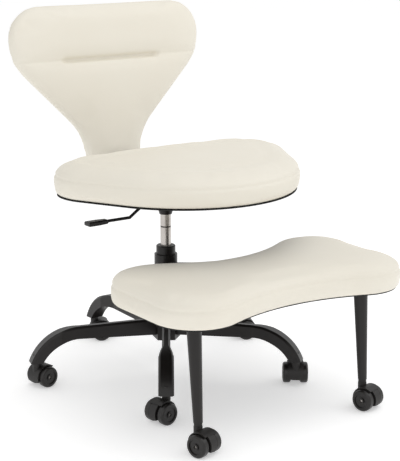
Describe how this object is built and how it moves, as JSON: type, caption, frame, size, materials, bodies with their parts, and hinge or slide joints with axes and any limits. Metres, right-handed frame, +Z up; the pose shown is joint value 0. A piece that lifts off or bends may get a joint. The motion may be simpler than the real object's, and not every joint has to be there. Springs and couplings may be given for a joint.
{
  "type": "office chair",
  "caption": "Cross-legged office chair: padded seat and mushroom back on a gas lift and caster base, with a peanut-shaped padded stool that swings round the column.",
  "frame": {"origin": "on the floor under the column's axis", "axes": "+Z up along the column, the sitter faces -Y, +X is the sitter's left"},
  "size_m": [0.7381, 0.9641, 0.9552],
  "materials": {
    "black_steel": "satin",
    "plain_steel": "satin",
    "ground_steel": "satin",
    "black_plastic": "matte",
    "wheel_plastic": "satin",
    "cream_upholstery": "satin",
    "dust_cloth": "matte",
    "plywood": "matte"
  },
  "bodies": {
    "base": {"star_hub": "black_steel", "leg_1": "black_steel", "leg_2": "black_steel", "leg_3": "black_steel", "leg_4": "black_steel", "leg_5": "black_steel", "base_sockets": "black_plastic", "outer_cylinder": "black_steel", "guide_bush": "black_plastic", "thrust_bearing": "plain_steel"},
    "rod": {"piston_rod": "plain_steel"},
    "seat": {"pressure_tube": "ground_steel", "swivel_plate": "black_steel", "seat_cover": "dust_cloth", "seat_board": "plywood", "seat_cushion": "cream_upholstery", "seat_screws": "plain_steel", "back_bracket": "black_steel", "back_panel": "cream_upholstery", "back_cushion": "cream_upholstery", "back_bolts": "plain_steel"},
    "lever": {"lever_rod": "plain_steel", "lever_handle": "black_plastic"},
    "button": {"valve_button": "plain_steel"},
    "stool": {"stool_sleeve": "black_steel", "sleeve_bushes": "black_plastic", "stool_frame": "black_steel", "stool_cover": "dust_cloth", "stool_board": "plywood", "stool_cushion": "cream_upholstery", "stool_leg_left": "black_steel", "stool_leg_right": "black_steel"},
    "base_caster_1": {"base_caster_1_hood": "black_plastic", "base_caster_1_pins": "plain_steel"},
    "base_caster_1_wheel_a": {"base_caster_1_wheel_a": "wheel_plastic"},
    "base_caster_1_wheel_b": {"base_caster_1_wheel_b": "wheel_plastic"},
    "base_caster_2": {"base_caster_2_hood": "black_plastic", "base_caster_2_pins": "plain_steel"},
    "base_caster_2_wheel_a": {"base_caster_2_wheel_a": "wheel_plastic"},
    "base_caster_2_wheel_b": {"base_caster_2_wheel_b": "wheel_plastic"},
    "base_caster_3": {"base_caster_3_hood": "black_plastic", "base_caster_3_pins": "plain_steel"},
    "base_caster_3_wheel_a": {"base_caster_3_wheel_a": "wheel_plastic"},
    "base_caster_3_wheel_b": {"base_caster_3_wheel_b": "wheel_plastic"},
    "base_caster_4": {"base_caster_4_hood": "black_plastic", "base_caster_4_pins": "plain_steel"},
    "base_caster_4_wheel_a": {"base_caster_4_wheel_a": "wheel_plastic"},
    "base_caster_4_wheel_b": {"base_caster_4_wheel_b": "wheel_plastic"},
    "base_caster_5": {"base_caster_5_hood": "black_plastic", "base_caster_5_pins": "plain_steel"},
    "base_caster_5_wheel_a": {"base_caster_5_wheel_a": "wheel_plastic"},
    "base_caster_5_wheel_b": {"base_caster_5_wheel_b": "wheel_plastic"},
    "stool_caster_left": {"stool_caster_left_hood": "black_plastic", "stool_caster_left_pins": "plain_steel"},
    "stool_caster_left_wheel_a": {"stool_caster_left_wheel_a": "wheel_plastic"},
    "stool_caster_left_wheel_b": {"stool_caster_left_wheel_b": "wheel_plastic"},
    "stool_caster_right": {"stool_caster_right_hood": "black_plastic", "stool_caster_right_pins": "plain_steel"},
    "stool_caster_right_wheel_a": {"stool_caster_right_wheel_a": "wheel_plastic"},
    "stool_caster_right_wheel_b": {"stool_caster_right_wheel_b": "wheel_plastic"}
  },
  "joints": [
    {"name": "seat_swivel", "type": "hinge", "parent": "base", "child": "rod", "pos_m": [0, 0, 0.1], "axis": [0, 0, 1], "continuous": true},
    {"name": "seat_lift", "type": "slide", "parent": "rod", "child": "seat", "axis": [0, 0, 1], "range_m": [-0.075, 0.02]},
    {"name": "lever_lift", "type": "hinge", "parent": "seat", "child": "lever", "pos_m": [-0.027, 0, 0.4903], "axis": [0, 1, 0], "range_deg": [0, 6], "stiffness_Nm_per_rad": 4, "springref_deg": -8.59},
    {"name": "valve_press", "type": "slide", "parent": "seat", "child": "button", "axis": [0, 0, 1], "range_m": [-0.0033, 0]},
    {"name": "stool_swing", "type": "hinge", "parent": "base", "child": "stool", "pos_m": [0, 0, 0.25], "axis": [0, 0, 1], "continuous": true},
    {"name": "base_caster_1_swivel", "type": "hinge", "parent": "base", "child": "base_caster_1", "pos_m": [-0.19673, -0.28948, 0.07], "axis": [0, 0, 1], "continuous": true},
    {"name": "base_caster_1_roll_a", "type": "hinge", "parent": "base_caster_1", "child": "base_caster_1_wheel_a", "pos_m": [-0.21446, -0.2926, 0.027], "axis": [0.1736, -0.9848, 0], "continuous": true},
    {"name": "base_caster_1_roll_b", "type": "hinge", "parent": "base_caster_1", "child": "base_caster_1_wheel_b", "pos_m": [-0.21446, -0.2926, 0.027], "axis": [0.1736, -0.9848, 0], "continuous": true},
    {"name": "base_caster_2_swivel", "type": "hinge", "parent": "base", "child": "base_caster_2", "pos_m": [0.21452, -0.27655, 0.07], "axis": [0, 0, 1], "continuous": true},
    {"name": "base_caster_2_roll_a", "type": "hinge", "parent": "base_caster_2", "child": "base_caster_2_wheel_a", "pos_m": [0.2251, -0.26199, 0.027], "axis": [-0.809, 0.5878, 0], "continuous": true},
    {"name": "base_caster_2_roll_b", "type": "hinge", "parent": "base_caster_2", "child": "base_caster_2_wheel_b", "pos_m": [0.2251, -0.26199, 0.027], "axis": [-0.809, 0.5878, 0], "continuous": true},
    {"name": "base_caster_3_swivel", "type": "hinge", "parent": "base", "child": "base_caster_3", "pos_m": [0.32931, 0.11856, 0.07], "axis": [0, 0, 1], "continuous": true},
    {"name": "base_caster_3_roll_a", "type": "hinge", "parent": "base_caster_3", "child": "base_caster_3_wheel_a", "pos_m": [0.34562, 0.11095, 0.027], "axis": [0.4226, 0.9063, 0], "continuous": true},
    {"name": "base_caster_3_roll_b", "type": "hinge", "parent": "base_caster_3", "child": "base_caster_3_wheel_b", "pos_m": [0.34562, 0.11095, 0.027], "axis": [0.4226, 0.9063, 0], "continuous": true},
    {"name": "base_caster_4_swivel", "type": "hinge", "parent": "base", "child": "base_caster_4", "pos_m": [-0.01099, 0.34983, 0.07], "axis": [0, 0, 1], "continuous": true},
    {"name": "base_caster_4_roll_a", "type": "hinge", "parent": "base_caster_4", "child": "base_caster_4_wheel_a", "pos_m": [0.00532, 0.34222, 0.027], "axis": [0.4226, 0.9063, 0], "continuous": true},
    {"name": "base_caster_4_roll_b", "type": "hinge", "parent": "base_caster_4", "child": "base_caster_4_wheel_b", "pos_m": [0.00532, 0.34222, 0.027], "axis": [0.4226, 0.9063, 0], "continuous": true},
    {"name": "base_caster_5_swivel", "type": "hinge", "parent": "base", "child": "base_caster_5", "pos_m": [-0.3361, 0.09765, 0.07], "axis": [0, 0, 1], "continuous": true},
    {"name": "base_caster_5_roll_a", "type": "hinge", "parent": "base_caster_5", "child": "base_caster_5_wheel_a", "pos_m": [-0.31838, 0.10077, 0.027], "axis": [-0.1736, 0.9848, 0], "continuous": true},
    {"name": "base_caster_5_roll_b", "type": "hinge", "parent": "base_caster_5", "child": "base_caster_5_wheel_b", "pos_m": [-0.31838, 0.10077, 0.027], "axis": [-0.1736, 0.9848, 0], "continuous": true},
    {"name": "stool_caster_left_swivel", "type": "hinge", "parent": "stool", "child": "stool_caster_left", "pos_m": [0.248, -0.493, 0.07], "axis": [0, 0, 1], "continuous": true},
    {"name": "stool_caster_left_roll_a", "type": "hinge", "parent": "stool_caster_left", "child": "stool_caster_left_wheel_a", "pos_m": [0.25266, -0.51039, 0.027], "axis": [0.9659, 0.2588, 0], "continuous": true},
    {"name": "stool_caster_left_roll_b", "type": "hinge", "parent": "stool_caster_left", "child": "stool_caster_left_wheel_b", "pos_m": [0.25266, -0.51039, 0.027], "axis": [0.9659, 0.2588, 0], "continuous": true},
    {"name": "stool_caster_right_swivel", "type": "hinge", "parent": "stool", "child": "stool_caster_right", "pos_m": [-0.248, -0.493, 0.07], "axis": [0, 0, 1], "continuous": true},
    {"name": "stool_caster_right_roll_a", "type": "hinge", "parent": "stool_caster_right", "child": "stool_caster_right_wheel_a", "pos_m": [-0.24334, -0.51039, 0.027], "axis": [0.9659, 0.2588, 0], "continuous": true},
    {"name": "stool_caster_right_roll_b", "type": "hinge", "parent": "stool_caster_right", "child": "stool_caster_right_wheel_b", "pos_m": [-0.24334, -0.51039, 0.027], "axis": [0.9659, 0.2588, 0], "continuous": true}
  ],
  "couplings": [
    {"joint": "valve_press", "follows": "lever_lift", "m_per_rad": -0.031}
  ]
}
